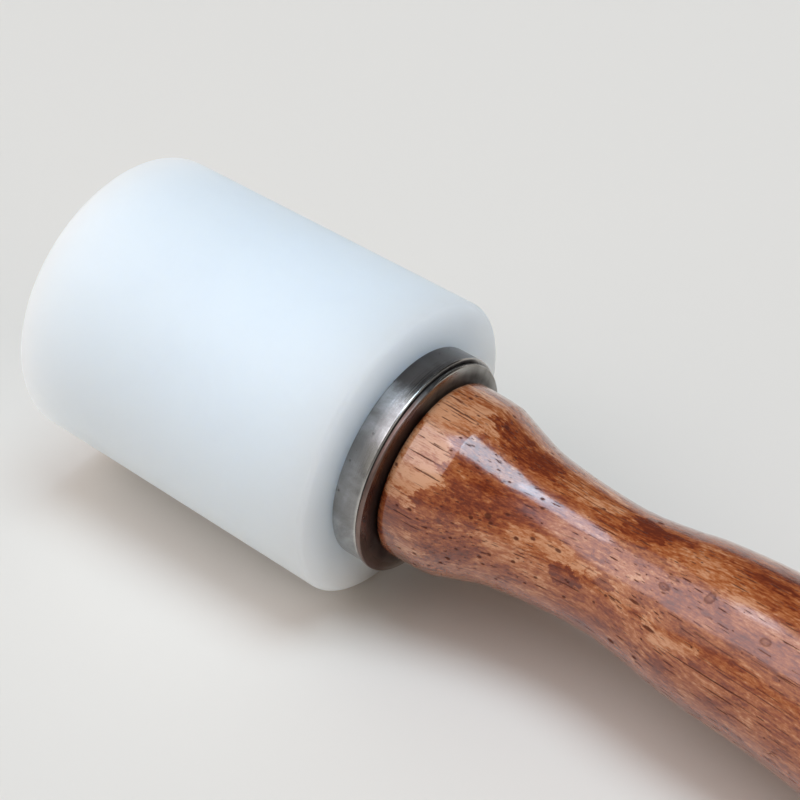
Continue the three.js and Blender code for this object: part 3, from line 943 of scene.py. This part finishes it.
FLOOR_DROP = 0.06
FLOOR_FLAT = 3000.0
FLOOR_SWEEP = 900.0
FLOOR_SIDES = 96
FLOOR_COLOUR = (0.74, 0.68, 0.61, 1)
FLOOR_ROUGHNESS = 0.85
SWEEP_DEGREES = 80
SWEEP_ROWS = 17

sweep_angle = np.radians(np.linspace(0, SWEEP_DEGREES, SWEEP_ROWS))
floor_radius = (FLOOR_FLAT + FLOOR_SWEEP * np.sin(sweep_angle))[:, None]
floor_rise = (FLOOR_SWEEP * (1 - np.cos(sweep_angle)) - FLOOR_DROP)[:, None]
floor_turn = np.linspace(0, 2 * np.pi, FLOOR_SIDES, endpoint=False)[None, :]
floor_points = MM * np.stack(
    np.broadcast_arrays(floor_radius * np.cos(floor_turn), floor_radius * np.sin(floor_turn), floor_rise), -1
)
ring_index = np.arange(floor_points.shape[0] * FLOOR_SIDES).reshape(-1, FLOOR_SIDES)
inner, outer = ring_index[:-1], ring_index[1:]
sweep_faces = np.stack([inner, outer, np.roll(outer, -1, axis=1), np.roll(inner, -1, axis=1)], -1)
floor_mesh = bpy.data.meshes.new("floor")
floor_mesh.from_pydata(
    floor_points.reshape(-1, 3).tolist(), [], [ring_index[0].tolist(), *sweep_faces.reshape(-1, 4).tolist()]
)
floor_mesh.shade_smooth()
floor = bpy.data.objects.new("floor", floor_mesh)
bpy.context.scene.collection.objects.link(floor)
floor_material = bpy.data.materials.new("pale_floor")
floor_material.use_nodes = True
floor_shader = floor_material.node_tree.nodes["Principled BSDF"]
floor_shader.inputs["Base Color"].default_value = FLOOR_COLOUR
floor_shader.inputs["Roughness"].default_value = FLOOR_ROUGHNESS
floor_mesh.materials.append(floor_material)


# The light: two cool lamps overhead, side by side, which put the long streak on the lacquer, and a
# softer one to the left of them, which puts the shadow under the mallet with them. A warm one stands
# at the butt's end, and two very soft ones and a dim room fill the left and the front.

# Each lamp: its name, the direction towards it, its width in degrees, its level and its colour.
LAMPS = [
    ("overhead", (0.20, 0.04, 0.97), 28, 0.44, (0.64, 0.84, 1.00)),
    ("overhead_back", (-0.09, -0.03, 1.00), 20, 0.15, (0.70, 0.82, 1.00)),
    ("overhead_left", (-0.37, -0.40, 0.84), 45, 0.24, (0.84, 0.84, 1.00)),
    ("butt_end", (0.90, 0.00, 0.44), 45, 0.16, (1.00, 0.89, 0.80)),
    ("left", (-0.73, -0.35, 0.59), 85, 0.41, (1.00, 0.96, 0.87)),
    ("front", (-0.25, -0.87, 0.42), 85, 0.10, (1.00, 0.95, 0.93)),
]
ROOM_LEVEL = 0.08
ROOM_COLOUR = (1.0, 0.95, 0.90, 1)


def add_lamp(name, towards, width, level, colour):
    """A far round lamp in a direction, as many degrees wide as the width. At level 1 it shows a
    surface that faces it in its own colour."""
    lamp = bpy.data.lights.new(name, "SUN")
    lamp.angle = math.radians(width)
    lamp.energy = level * math.pi
    lamp.color = colour
    holder = bpy.data.objects.new(name, lamp)
    flat_reach = math.hypot(towards[0], towards[1])
    holder.rotation_euler = (math.atan2(flat_reach, towards[2]), 0, math.atan2(towards[0], -towards[1]))
    bpy.context.scene.collection.objects.link(holder)


for lamp_values in LAMPS:
    add_lamp(*lamp_values)
world = bpy.data.worlds.new("room")
world.use_nodes = True
background = world.node_tree.nodes["Background"]
background.inputs["Color"].default_value = ROOM_COLOUR
background.inputs["Strength"].default_value = ROOM_LEVEL
bpy.context.scene.world = world
bpy.context.scene.view_settings.view_transform = "Standard"


# The camera: the photograph's place and lens, level from side to side.

CAMERA_PLACE = (0.0552133, -0.1305282, 0.1651919)
CAMERA_AZIMUTH = 37.474
CAMERA_ELEVATION = 39.518
CAMERA_LENS = 74.41
SENSOR_WIDTH = 36
NEAREST_SEEN = 0.01

camera_data = bpy.data.cameras.new("camera")
camera_data.lens = CAMERA_LENS
camera_data.sensor_width = SENSOR_WIDTH
camera_data.clip_start = NEAREST_SEEN
camera = bpy.data.objects.new("camera", camera_data)
camera.location = CAMERA_PLACE
camera.rotation_euler = (math.radians(90 - CAMERA_ELEVATION), 0, math.radians(CAMERA_AZIMUTH))
bpy.context.scene.collection.objects.link(camera)
bpy.context.scene.camera = camera
